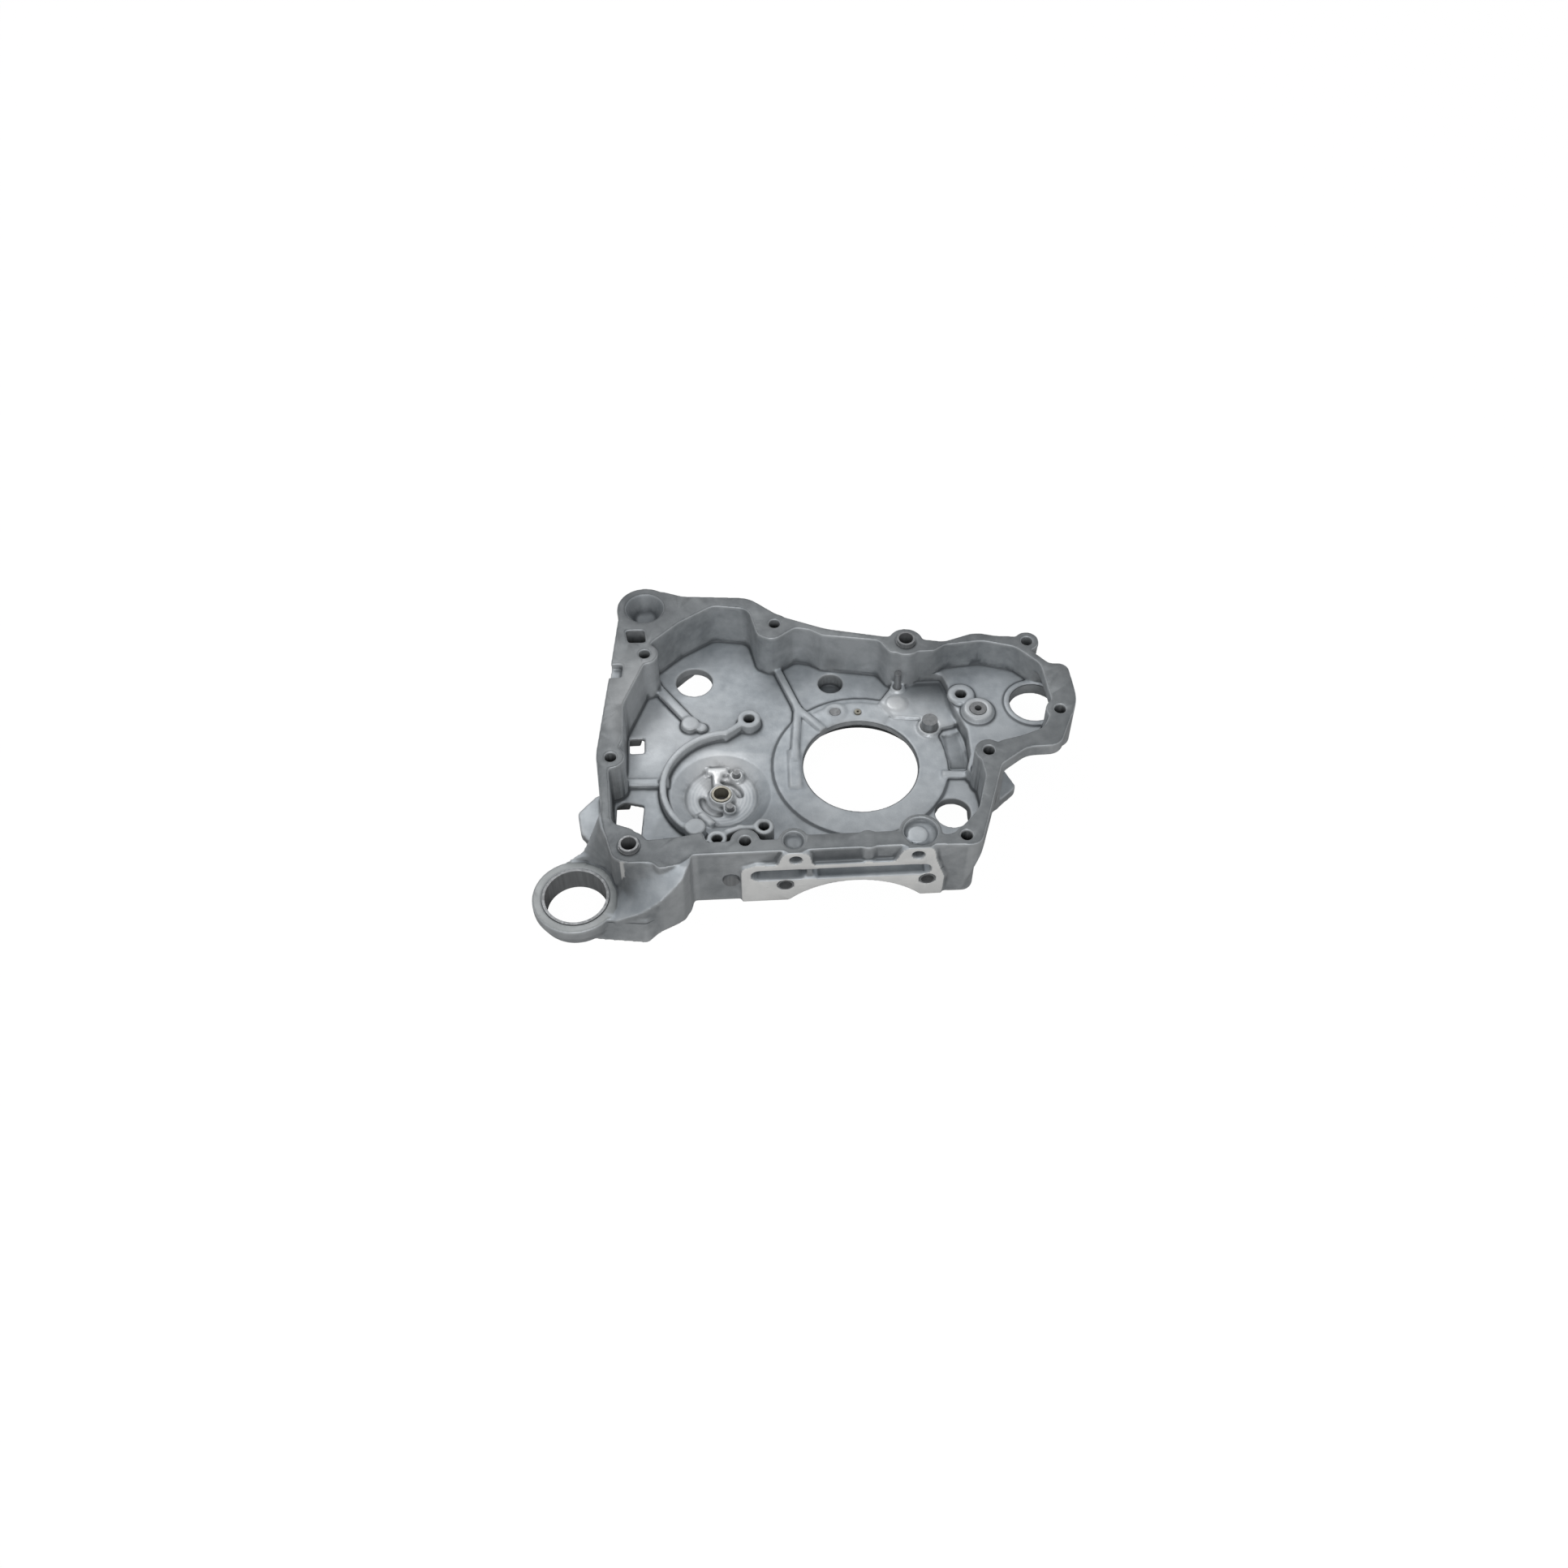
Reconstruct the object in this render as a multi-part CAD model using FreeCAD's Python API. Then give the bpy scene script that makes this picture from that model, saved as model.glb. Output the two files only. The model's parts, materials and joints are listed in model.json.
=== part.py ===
"""Cover-side half of the crankcase of a small single-cylinder four-stroke engine, in millimetres.

The origin lies on the crankshaft axis, in the split face that meets the other half. +Z points out of the
engine, towards the side cover, +X up the engine to the starter motor, and -Y along the cylinder.
"""
import FreeCAD, Part
import math
import os

from FreeCAD import Vector

# Heights above the split face
rim_height = 34.5
floor_top = 10.0
web_thickness = 5.0
deck_top = 18.0
deck_bottom = 12.0
lobe_flange_bottom = 28.0
inset_top = 27.0

# Crankshaft bearing
bearing_seat_radius = 31.0
bearing_lip_radius = 26.0
bearing_lip_thickness = 3.6
insert_wall = 3.0
land_radius = 39.8
land_height = 0.8
bearing_ring_wall = 8.0

# Screw holes and the columns that hold them
cover_screw_radius = 2.6
cover_screw_depth = 18.0
split_screw_radius = 2.6
split_screw_depth = 10.0
column_radius = 6.3
slim_column_radius = 4.9

# Hollow dowels of the side cover
dowel_outer_radius = 4.2
dowel_inner_radius = 3.3
dowel_length = 9.0
dowel_seat_depth = 7.0

# A pressed pin is this much thicker where it sits in the casting
pin_shoulder = 0.3

# Cylinder base
base_face_y = -64.6
base_flange_depth = 6.0
base_ear_screw_radius = 2.6
base_ear_screw_z = 29.2
base_ear_x = (-33.2, 18.6)
base_ear_screw_depth = 12.0
base_ear_boss_radius = 5.3
base_ear_boss_end = (-52.0, -50.0)
base_stud_radius = 2.8
base_stud_x = (-37.5, 23.5)
base_stud_z = 11.6
base_stud_depth = 17.0
stud_boss_wall = 3.1
stud_insert_wall = 0.6
stud_insert_length = 12.0
chain_slot_left = -26.0
chain_slot_right = 24.6
chain_slot_bottom = 15.3
chain_slot_height = 6.8
chain_slot_depth = 20.0
side_slot_left = -52.0
side_slot_depth = 7.0
slot_divider = 2.4
slot_groove_depth = 1.2
spigot_radius = 38.2
spigot_centre_x = -7.5
spigot_centre_z = -25.7
spigot_depth = 7.4

# Hanger eye
eye_x = -127.3
eye_y = -65.9
eye_radius = 18.6
eye_foot_radius = 16.0
eye_height = 12.0
eye_step = 5.0
eye_bore_radius = 14.4
sleeve_wall = 1.2
arm_plan = [
    (-112, -35.5, 0), (-118.8, -42, 0), (-122.4, -44.7, 0), (-129, -47, 0), (-133.8, -48.4, 0),
    (-124, -66, 0), (-110.2, -79.6, 0), (-103.1, -79.5, 0), (-96.8, -79.1, 0), (-90.5, -77.8, 0),
    (-84.9, -75.1, 0), (-80.9, -72.6, 0), (-78, -67.8, 0), (-76, -60, 0), (-100, -40, 0),
]

# Contours of the arm's upper side: a height, then places (x, y) from its left edge to its front edge
arm_contours = [
    (12, [(-140, -46), (-133.8, -48.2), (-124, -47.5), (-115.5, -51.5),
          (-110.5, -58), (-109, -66), (-110.2, -74), (-110.8, -90)]),
    (16, [(-135, -38), (-125, -45.4), (-119.8, -48.4), (-114.3, -52.8),
          (-110, -59), (-107.2, -65.5), (-104, -72), (-97.5, -84)]),
    (20, [(-130, -36), (-122.4, -44.7), (-118.2, -48.6), (-113.4, -53.4),
          (-109.5, -59.5), (-105.8, -66), (-101, -71.5), (-88, -84)]),
    (27, [(-126, -34), (-119.2, -42.3), (-116.5, -47.5), (-112.4, -54),
          (-108.8, -60.5), (-103.6, -65.8), (-96.5, -68.6), (-78, -79)]),
    (34, [(-122, -30), (-116, -38), (-115, -46), (-112, -54),
          (-108.2, -61), (-102, -65), (-94, -66), (-72, -69)]),
]
arm_contour_ends = [(-60, -90), (-60, -30)]

# Starter motor bore and the smaller round openings
starter_x = 81.6
starter_y = 26.3
starter_bore_radius = 10.9
starter_ring_radius = 13.6
starter_ring_height = 1.0
starter_relief_radius = 12.2
starter_relief_top = 27.0
ear_x = 80.2
ear_y = 50.4
ear_radius = 5.6
ear_bottom = 27.0
breather_x = 38.8
breather_y = -28.5
breather_radius = 7.9
return_x = -74.1
return_y = 54.6
return_radius = 8.5
return_bottom = 3.0
window_web = 2.4
blind_x = -10.2
blind_y = 50.5
blind_radius = 5.8
blind_depth = 8.0
blind_wall = 2.5

# Oil pump seat
pump_x = -63.5
pump_y = -12.7
pump_rim_radius = 22.3
pump_floor_radius = 16.0
pump_depth = 3.2
pump_boss_radius = 5.5
pump_boss_height = 3.6
pump_shaft_radius = 3.4
pump_bush_wall = 1.0
pump_bush_length = 7.0
pump_under_boss_radius = 19.0
pump_under_boss_depth = 4.6
kidney_radius = 8.6
kidney_width = 3.4
kidney_depth = 2.0
kidney_angles = [(12, 82), (182, 262)]
splash_wall_x = -59.0
splash_wall_y = -11.0
splash_wall_radius = 32.0
splash_wall_thickness = 3.0
splash_wall_height = 5.0
splash_wall_start = 92
splash_wall_end = 232

# Raised oil ways and pads on the bowl floor
oil_rib_width = 3.4
oil_rib_height = 2.4
pad_height = 2.6
oil_ribs = [((-36.4, 64), (-26.6, 34.6)), ((-26.6, 34.6), (-15.2, 20.6)), ((-26.6, 34.6), (-29.6, 6))]
oil_rib_end = ((-29.8, 7), (-30.0, -9))
oil_rib_end_width = 5.4
oil_rib_end_height = 1.8
jet_pad_radius = 36.6
jet_pad_angles = (62, 122)
oil_plug_boss_radius = 5.2
guide_pin_radius = 1.6
guide_pin_height = 9.0
guide_pin_grip = 3.0
pivot_radius = 3.6
pivot_height = 4.2
pivot_grip = 3.0
idler_seat_radius = 6.4
idler_seat_height = 3.0
seat_draft = 1.6
idler_bush_radius = 3.8
idler_bush_bore = 1.6
idler_bush_length = 5.0
plug_radius = 2.4
plug_depth = 3.0
jet_radius = 1.5
jet_bore = 0.6
jet_depth = 4.0
pump_pin_radius = 1.6
pump_pin_height = 2.0
pump_pin_grip = 2.4
side_plug_radius = 3.4
side_plug_length = 5.0
side_plug_proud = 1.4

# Short ribs on the floor as (start, end, width, height) and round ones as (x, y, radius, height)
floor_ribs = [
    ((38, -7.6), (49, -8.4), 3.6, 2), ((-92.6, 52.4), (-77, 30), 4.6, 2.2),
    ((-107, -5.2), (-89, -6.0), 4.4, 2.6),
]
floor_posts = [(-76.6, 27.4, 4.2, 3), (-71.4, 25.6, 2.6, 2)]
guide_dome = (19.2, 34.0)
guide_dome_foot_radius = 6.4
guide_dome_radius = 4.4
guide_dome_height = 3.4

# Outlines are corners (x, y, corner radius) in order round the shape; radius 0 is a sharp corner.
rim_outline = [
    (-112.4, -54, 5), (-110, -62.8, 5), (-103, -65.8, 6), (-94.2, -65.2, 2), (-90.6, -69.4, 3),
    (-83.6, -68.0, 4), (-76.5, -63.0, 4), (20, -62.6, 6), (45.2, -64.2, 6), (59.4, -21.4, 3),
    (72, -12.4, 12), (86.6, -12.2, 7), (98.2, 14, 24), (96.8, 35.6, 8), (88.5, 36.4, 3), (82, 44, 3),
    (76, 53.6, 4), (66, 54.6, 10), (57, 57.2, 12), (42, 52.2, 10), (30, 54.6, 6), (13.5, 57.2, 8),
    (-12, 63.2, 40), (-33, 72.6, 30), (-47, 85.0, 14), (-78, 87.6, 6), (-88, 91.5, 6),
    (-106.5, 86.0, 4), (-108.6, 72, 10), (-111.8, 43, 30), (-117.6, -6, 26), (-115, -38, 12),
]
bowl_outline = [
    (-110.5, -44, 5), (-102, -47.5, 3), (-96, -54, 3), (-79, -52.5, 3), (-72, -50.5, 2),
    (-70.4, -56.4, 2), (-40, -56.4, 3), (-36, -54.6, 3), (26, -54.6, 4), (31, -58, 3), (36, -56, 4),
    (41, -50.6, 5), (46.5, -44, 6), (51.5, -27, 8), (50.4, -16, 4), (46.6, -10.4, 2),
    (49.2, -1.6, 6), (49.4, 12, 8), (44.6, 27, 8), (43.2, 39.4, 3), (41.2, 46.6, 2),
    (37.5, 46.5, 3.5), (16.5, 46.5, 3.5), (12, 54.4, 4), (-14, 59.0, 4),
    (-19.5, 62.8, 4), (-26, 64.4, 4), (-37, 56.8, 8), (-44, 61, 4), (-47.5, 77.6, 6), (-64, 80.4, 7),
    (-80, 70.5, 6), (-93, 58.5, 5), (-96, 46, 5), (-105.6, 22, 6), (-105.8, 1, 5), (-112, -14, 5),
]
# The deck is the higher floor beside the starter. Its pocket narrows downwards at the front of the lobe.
deck_outline_low = [
    (36, 46.0, 0), (42.4, 50.0, 4), (59.5, 51.6, 14), (74.5, 47, 10), (84.5, 36, 8), (86.6, 16, 12),
    (80.6, 5.0, 6), (69, 3.4, 4), (58, -3, 4), (50.6, -13, 3), (43, -13, 0), (41, 0, 0), (40, 20, 0),
    (36, 34, 0),
]
deck_outline_high = [
    (36, 46.0, 0), (42.4, 50.0, 4), (59.5, 51.6, 14), (74.5, 47, 10), (84.5, 36, 8), (86.6, 10, 14),
    (80.6, -1.8, 6), (70, -5.8, 4), (60.6, -8, 4), (50.6, -16, 3), (43, -13, 0), (41, 0, 0), (40, 20, 0),
    (36, 34, 0),
]
# Outside of the starter lobe at its underside and just under its flange
lobe_outline_low = [
    (54, -6, 0), (60, -4, 3), (70, 2, 12), (84, 3, 7), (97, 16, 20), (96, 35, 8), (88.5, 36.2, 3),
    (82, 43.6, 3), (76, 52.8, 4), (54, 54.4, 0),
]
lobe_outline_high = [
    (54, -24, 0), (59.8, -21.6, 3), (72, -12.4, 12), (86.6, -12.2, 7), (98.2, 14, 24), (96.8, 35.6, 8),
    (88.5, 36.4, 3), (82, 44, 3), (76, 53.6, 4), (54, 58, 0),
]
lobe_zone = [(61, -30, 0), (61, 62, 0), (112, 62, 0), (112, -30, 0)]
# What the slanting lower corner at the front right leaves out
inset_low = [
    (38.3, -63.9, 0), (43.9, -56, 6), (50, -44.5, 12), (58.4, -21, 0), (76, -22, 0), (76, -76, 0),
    (38.3, -76, 0),
]
inset_high = [
    (45.6, -64.6, 0), (49.6, -54.5, 6), (53.4, -41.5, 12), (59.8, -21.6, 0), (76, -22, 0), (76, -76, 0),
    (45.6, -76, 0),
]
underside_outline = [
    (-106, -40, 0), (-60, -50, 0), (30, -50.4, 0), (46, -30, 0), (48, 0, 0), (54, 8, 0),
    (54, 46, 0), (16, 46, 0), (-14, 54, 0), (-38, 56, 0), (-46, 74, 0), (-64, 77.7, 0), (-88, 54.1, 0),
    (-98, 36, 0), (-104, 0, 0),
]
under_ribs = [((-30, 20), (-58, 46)), ((-30, -30), (-88, -44)), ((30, 24), (56, 40))]
under_rib_width = 4.0
arm_foot_low = [
    (-118, -46, 0), (-133.6, -48.6, 2), (-127, -78, 2), (-117.6, -80.6, 2), (-97.2, -83.4, 3),
    (-85.2, -72.8, 2), (-82, -71.4, 0), (-79.2, -66, 0), (-79, -60, 0), (-100, -50, 0),
]
arm_foot_high = [
    (-118, -48, 0), (-131, -51, 2), (-127, -76, 2), (-116, -78, 2), (-97.2, -80.0, 3), (-86.6, -74.8, 2),
    (-82.6, -71.2, 0), (-80, -66, 0), (-80, -60, 0), (-100, -52, 0),
]
left_tab_outline = [
    (-112, -4, 0), (-120, -6.6, 3), (-128, -15.6, 3), (-126.4, -27, 3), (-118, -38, 2), (-112, -38, 0),
]
left_tab_height = 4.5
right_tab_height = 5.5
right_tab_outline = [(52, 2, 0), (64.9, -0.6, 2), (69.9, -12, 2.5), (57.6, -23, 2), (50, -22, 0)]
sump_window = [(-110, -17, 0), (-106.4, -14.8, 0), (-98, -17.2, 0), (-99.8, -37, 0), (-110.6, -33, 0)]
sump_relief = [(-112.4, -12, 0), (-93, -12, 0), (-93, -40, 0), (-112.4, -40, 0)]
strainer_window = [(-104.5, 13.0, 0), (-97.8, 13.0, 0), (-97.8, 21.6, 0), (-104.5, 21.6, 0)]
strainer_relief = [(-106, 10, 0), (-94, 10, 0), (-94, 25, 0), (-106, 25, 0)]
guide_pad = [
    (11.6, 36, 0), (18.5, 45.6, 3), (41.6, 48.0, 2), (43.2, 39, 3), (44.8, 26, 2), (46, 20.6, 2),
    (37.6, 18.6, 0), (29, 25, 2), (17, 26.6, 3),
]
drain_depth = 1.0
drain_channel = [(38.4, 16.4, 0), (46.6, 18.4, 0), (49.0, 6, 0), (48.6, -4.0, 0), (40.2, -4.0, 0)]
corner_pocket_depth = 14.0
flank_notch_depth = 4.0
corner_pocket = [(-105, 67, 0), (-96, 66.6, 0), (-95.4, 59, 0), (-103.6, 59.4, 0)]
flank_notch = [(-118, 38, 0), (-106.6, 38, 0), (-105.8, 46, 0), (-118, 46, 0)]
base_flange_outline = [
    (-56.6, 0, 0), (30.4, 0, 0), (31.0, 13, 4), (26.8, 25.6, 0), (25.8, 34.4, 4.5), (12.4, 34.4, 4.5),
    (8.8, 25.6, 0), (-25.8, 25.6, 0), (-27.2, 34.2, 4), (-38.6, 34.2, 4), (-41.2, 26, 0), (-50, 26.6, 3),
    (-56.6, 24, 3),
]

# Cover screws round the rim as (x, y, column radius, column foot)
cover_screws = [
    (-96.1, 51.8, column_radius, 0), (-111.2, -8.2, column_radius, 0), (-35.6, 67.6, column_radius, 0),
    (89.4, 8.8, column_radius, 14), (54.6, -13.2, column_radius, 0), (39.4, -58.6, slim_column_radius, 0),
    (-54.2, -56.6, column_radius, 0),
]
cover_dowels = [(24.4, 52.9), (-103.0, -57.1)]
dowel_column_radius = 8.2
split_screws = [
    (-111.2, -8.2), (-35.6, 67.6), (54.6, -13.2), (24.4, 52.9), (-103.0, -57.1),
]
bracket_screws = [(-66.0, -52.3), (-45.8, -46.7)]
bracket_link = [(-66.0, -52.3), (-61.3, -48.2), (-56.0, -46.4), (-45.8, -46.7)]
bracket_height = 31.0
bracket_boss_radius = 4.4
bracket_screw_radius = 2.3
bracket_screw_depth = 14.0
bracket_rib_width = 2.6
rear_boss = (-95.9, 80.6)
rear_boss_radius = 13.0
rear_boss_mouth = 9.2
rear_boss_end = 5.0
rear_boss_depth = 8.0
left_recess = (-33.8, -57.4)
left_recess_radius = 4.4
left_recess_boss = 6.6
right_recess = (20.2, -55.6)
right_recess_radius = 7.2
right_recess_boss = 9.2
recess_depth = 2.4
middle_bump = (-2.4, -58.6)
middle_bump_radius = 5.0
middle_bump_bottom = 24.0
oil_plug_place = (-9.3, 31.6)
oil_plug_boss_height = 2.0
oil_jet_place = (1.2, bearing_seat_radius)
jet_pad_height = 1.5
guide_pin_place = (20.6, 43.4)
guide_pin_boss_radius = 3.2
guide_pin_boss_height = 4.1
pivot_place = (33.3, 20.0)
pivot_boss_radius = 5.4
idler_place = (55.4, 22.2)
stop_screw_place = (48.7, 32.4)
stop_boss_radius = 5.8
stop_boss_height = 2.0
inner_screw_radius = 2.6
inner_screw_depth = 9.0
splash_wall_tip = (-60.0, 19.5)
splash_boss = (-49.4, 27.0)
splash_boss_radius = 5.4
splash_end_boss = (-75.4, -34.0)
splash_end_radius = 4.7
splash_end_proud = 0.6
pump_pins = [(-59.9, -20.0), (-56.4, -1.2)]
pump_pin_boss_radius = 3.1
pump_pin_boss_height = 2.0
pump_ribs = [
    ((-64.7, -7.7), (-65.1, 1.3), 4.2, 2.2), ((-67.9, 1.9), (-61.9, 1.9), 3.4, 2.2),
    ((-72.1, -23.1), (-68.9, -27.1), 3.6, 2.4),
]
side_plug_place = (-60.7, 14.9)
front_wall_y = -62.6

web_bottom = floor_top - web_thickness
insert_radius = bearing_seat_radius + insert_wall
seat_depth = floor_top + land_height - bearing_lip_thickness
through = 1.0


def rounded(corners):
    """A closed wire in the XY plane with an arc of its own radius at every corner that has one."""
    places = [Vector(x, y, 0) for x, y, radius in corners]
    count = len(corners)
    starts = []
    ends = []
    arcs = []
    for i, (here, (x, y, radius)) in enumerate(zip(places, corners)):
        if radius == 0:
            starts.append(here)
            ends.append(here)
            arcs.append(None)
            continue
        back = places[i - 1] - here
        ahead = places[(i + 1) % count] - here
        half = back.getAngle(ahead) / 2
        reach = min(radius / math.tan(half), 0.49 * back.Length, 0.49 * ahead.Length)
        back.normalize()
        ahead.normalize()
        centre = here + (back + ahead).normalize() * (reach / math.cos(half))
        middle = centre + (here - centre).normalize() * (reach * math.tan(half))
        starts.append(here + back * reach)
        ends.append(here + ahead * reach)
        arcs.append(Part.Arc(starts[i], middle, ends[i]).toShape())
    edges = []
    for i in range(count):
        if arcs[i]:
            edges.append(arcs[i])
        edges.append(Part.LineSegment(ends[i], starts[(i + 1) % count]).toShape())
    return Part.Wire(edges)


def prism(corners, low, high):
    """A solid of that outline between two heights."""
    face = Part.Face(rounded(corners))
    face.translate(Vector(0, 0, low))
    return face.extrude(Vector(0, 0, high - low))


def tapered(corners_low, corners_high, low, high):
    """A solid between two outlines with the same number of corners, at two heights."""
    foot = rounded(corners_low)
    foot.translate(Vector(0, 0, low))
    head = rounded(corners_high)
    head.translate(Vector(0, 0, high))
    return Part.makeLoft([foot, head], True, True)


def wall_prism(corners, thickness, y_front):
    """A solid of an outline given as (x, z, radius), from y_front inwards along +Y."""
    face = Part.Face(rounded(corners))
    face.rotate(Vector(0, 0, 0), Vector(1, 0, 0), 90)
    face.translate(Vector(0, y_front, 0))
    return face.extrude(Vector(0, thickness, 0))


def post(x, y, radius, low, high):
    return Part.makeCylinder(radius, high - low, Vector(x, y, low))


def rod_y(x, z, radius, y_from, y_to):
    """A cylinder along +Y."""
    return Part.makeCylinder(radius, y_to - y_from, Vector(x, y_from, z), Vector(0, 1, 0))


def tube(x, y, outer, inner, low, high):
    return post(x, y, outer, low, high).cut(post(x, y, inner, low - through, high + through))


def bar(start, end, width, low, high):
    """A straight rib between two points, half its width longer at each end."""
    ax, ay = start
    bx, by = end
    length = math.hypot(bx - ax, by - ay)
    beam = Part.makeBox(length + width, width, high - low, Vector(-width / 2, -width / 2, low))
    beam.rotate(Vector(0, 0, 0), Vector(0, 0, 1), math.degrees(math.atan2(by - ay, bx - ax)))
    beam.translate(Vector(ax, ay, 0))
    return beam


def sector_wall(x, y, outer, inner, start, end, low, high):
    """Part of a ring, from one angle to another in degrees."""
    big = Part.makeCylinder(outer, high - low, Vector(x, y, low), Vector(0, 0, 1), end - start)
    big.rotate(Vector(x, y, low), Vector(0, 0, 1), start)
    return big.cut(post(x, y, inner, low - through, high + through))


def screw_hole(x, y, radius, top, depth):
    """A blind hole from above."""
    return post(x, y, radius, top - depth, top + through)


def under_hole(x, y, radius, depth):
    """A blind hole from the split face."""
    return post(x, y, radius, -through, depth)


def outer_shell():
    """The deep wall with its gasket rim, the overhanging lobe and the slanting front corner."""
    shell = prism(rim_outline, 0, rim_height)
    lobe_body = tapered(lobe_outline_low, lobe_outline_high, deck_bottom, lobe_flange_bottom)
    under_lobe = prism(lobe_zone, -through, lobe_flange_bottom).cut(lobe_body)
    inset = tapered(inset_low, inset_high, 0, inset_top)
    return shell.cut([under_lobe, inset])


def hanger_arm():
    """The arm that falls in one sweep from the rim to the round eye at the foot of the engine."""
    outlines = [(height, [(x, y, 0) for x, y in line + arm_contour_ends]) for height, line in arm_contours]
    steps = [tapered(lower, upper, low, high) for (low, lower), (high, upper) in zip(outlines, outlines[1:])]
    sweep = steps[0].fuse(steps[1:])
    eye_top = outlines[0][0]
    arm = prism(arm_plan, eye_top, outlines[-1][0]).common(sweep)
    foot = tapered(arm_foot_low, arm_foot_high, 0, eye_height)
    cone = Part.makeCone(eye_foot_radius, eye_radius, eye_height - eye_step, Vector(eye_x, eye_y, 0))
    ring = post(eye_x, eye_y, eye_radius, eye_height - eye_step, eye_height)
    return prism(arm_plan, 0, eye_top).fuse([arm, foot, cone, ring])


def cylinder_base():
    """The machined flange that the cylinder seats on."""
    flange = wall_prism(base_flange_outline, base_flange_depth, base_face_y)
    bosses = [rod_y(x, base_stud_z, base_stud_radius + stud_boss_wall, base_face_y + 2,
                    base_face_y + base_stud_depth + 3) for x in base_stud_x]
    return flange.fuse(bosses)


def base_slot(left, right, depth):
    """A slot in the cylinder base, sunk to a depth from its face."""
    top = chain_slot_bottom + chain_slot_height
    corners = [(left, chain_slot_bottom, 3), (right, chain_slot_bottom, 3), (right, top, 3), (left, top, 3)]
    return wall_prism(corners, depth + through, base_face_y - through)


def base_cuts():
    """Chain slot, spigot arch, stud and screw holes of the cylinder base."""
    slots = [
        base_slot(chain_slot_left, chain_slot_right, chain_slot_depth),
        base_slot(side_slot_left, chain_slot_left - slot_divider, side_slot_depth),
        base_slot(side_slot_left, chain_slot_right, slot_groove_depth),
    ]
    arch = rod_y(spigot_centre_x, spigot_centre_z, spigot_radius, base_face_y - through,
                 base_face_y + spigot_depth)
    gap = Part.makeBox(50, 12, web_bottom + through)
    gap.translate(Vector(spigot_centre_x - 25, base_face_y + spigot_depth - 2, -through))
    cuts = slots + [arch, gap]
    for x in base_stud_x:
        cuts.append(rod_y(x, base_stud_z, base_stud_radius + stud_insert_wall, base_face_y - through,
                          base_face_y + stud_insert_length))
        cuts.append(rod_y(x, base_stud_z, base_stud_radius, base_face_y, base_face_y + base_stud_depth))
    for x in base_ear_x:
        cuts.append(rod_y(x, base_ear_screw_z, base_ear_screw_radius, base_face_y - through,
                          base_face_y + base_ear_screw_depth))
    plug_end = front_wall_y + side_plug_length - side_plug_proud
    cuts.append(rod_y(*side_plug_place, side_plug_radius, base_face_y - 5, plug_end))
    return cuts


def bowl_cutters():
    """The low bowl on the left and the higher one over the deck."""
    low_bowl = prism(bowl_outline, floor_top, rim_height + through)
    high_bowl = tapered(deck_outline_low, deck_outline_high, deck_top, rim_height)
    above = prism(deck_outline_high, rim_height, rim_height + through)
    return [low_bowl, high_bowl, above]


def underside():
    """The shallow pocket under the floor, less the rings, bosses and ribs that stand in it."""
    pocket = prism(underside_outline, -through, web_bottom)
    roof = web_bottom + through
    keep = [
        post(0, 0, bearing_seat_radius + bearing_ring_wall, -2, roof),
        post(pump_x, pump_y, pump_under_boss_radius, web_bottom - pump_under_boss_depth, roof),
        post(blind_x, blind_y, blind_radius + blind_wall, -2, roof),
    ]
    keep += [bar(start, end, under_rib_width, 0, roof) for start, end in under_ribs]
    return pocket.cut(keep)


def floor_details():
    """Everything that stands on the bowl floor."""
    top = floor_top
    root = top - 1
    splash_top = top + splash_wall_height
    parts = [
        post(0, 0, land_radius, web_bottom, top + land_height),
        sector_wall(0, 0, jet_pad_radius, bearing_lip_radius - 1, *jet_pad_angles, web_bottom,
                    top + jet_pad_height),
        post(*oil_plug_place, oil_plug_boss_radius, web_bottom, top + oil_plug_boss_height),
        bar(*oil_rib_end, oil_rib_end_width, root, top + oil_rib_end_height),
        prism(guide_pad, root, top + pad_height),
        Part.makeCone(guide_dome_foot_radius, guide_dome_radius, guide_dome_height, Vector(*guide_dome, top)),
        post(*pivot_place, pivot_boss_radius, root, top + pad_height),
        post(*guide_pin_place, guide_pin_boss_radius, root, top + guide_pin_boss_height),
        sector_wall(splash_wall_x, splash_wall_y, splash_wall_radius, splash_wall_radius - splash_wall_thickness,
                    splash_wall_start, splash_wall_end, root, splash_top),
        bar(splash_wall_tip, splash_boss, splash_wall_thickness, root, splash_top),
        post(*splash_boss, splash_boss_radius, root, splash_top),
        post(*splash_end_boss, splash_end_radius, root, splash_top + splash_end_proud),
    ]
    for start, end in oil_ribs:
        parts.append(bar(start, end, oil_rib_width, root, top + oil_rib_height))
    for start, end, width, height in floor_ribs:
        parts.append(bar(start, end, width, root, top + height))
    for x, y, radius, height in floor_posts:
        parts.append(post(x, y, radius, root, top + height))
    return parts


def deck_details():
    """Everything that stands on the deck beside the starter bore."""
    idler = Vector(*idler_place, deck_top)
    stop = Vector(*stop_screw_place, deck_top)
    return [
        Part.makeCone(idler_seat_radius + seat_draft, idler_seat_radius, idler_seat_height, idler),
        Part.makeCone(stop_boss_radius + seat_draft / 2, stop_boss_radius, stop_boss_height, stop),
        post(starter_x, starter_y, starter_ring_radius, deck_top - 1, deck_top + starter_ring_height),
    ]


def pump_seat():
    """The dished seat of the oil pump, with its ports, gallery and shaft boss."""
    top = floor_top
    low = top - pump_depth
    dish = Part.makeCone(pump_floor_radius, pump_rim_radius, pump_depth, Vector(pump_x, pump_y, low))
    mouth = post(pump_x, pump_y, pump_rim_radius, top, top + 1.2)
    return dish.fuse(mouth)


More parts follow.
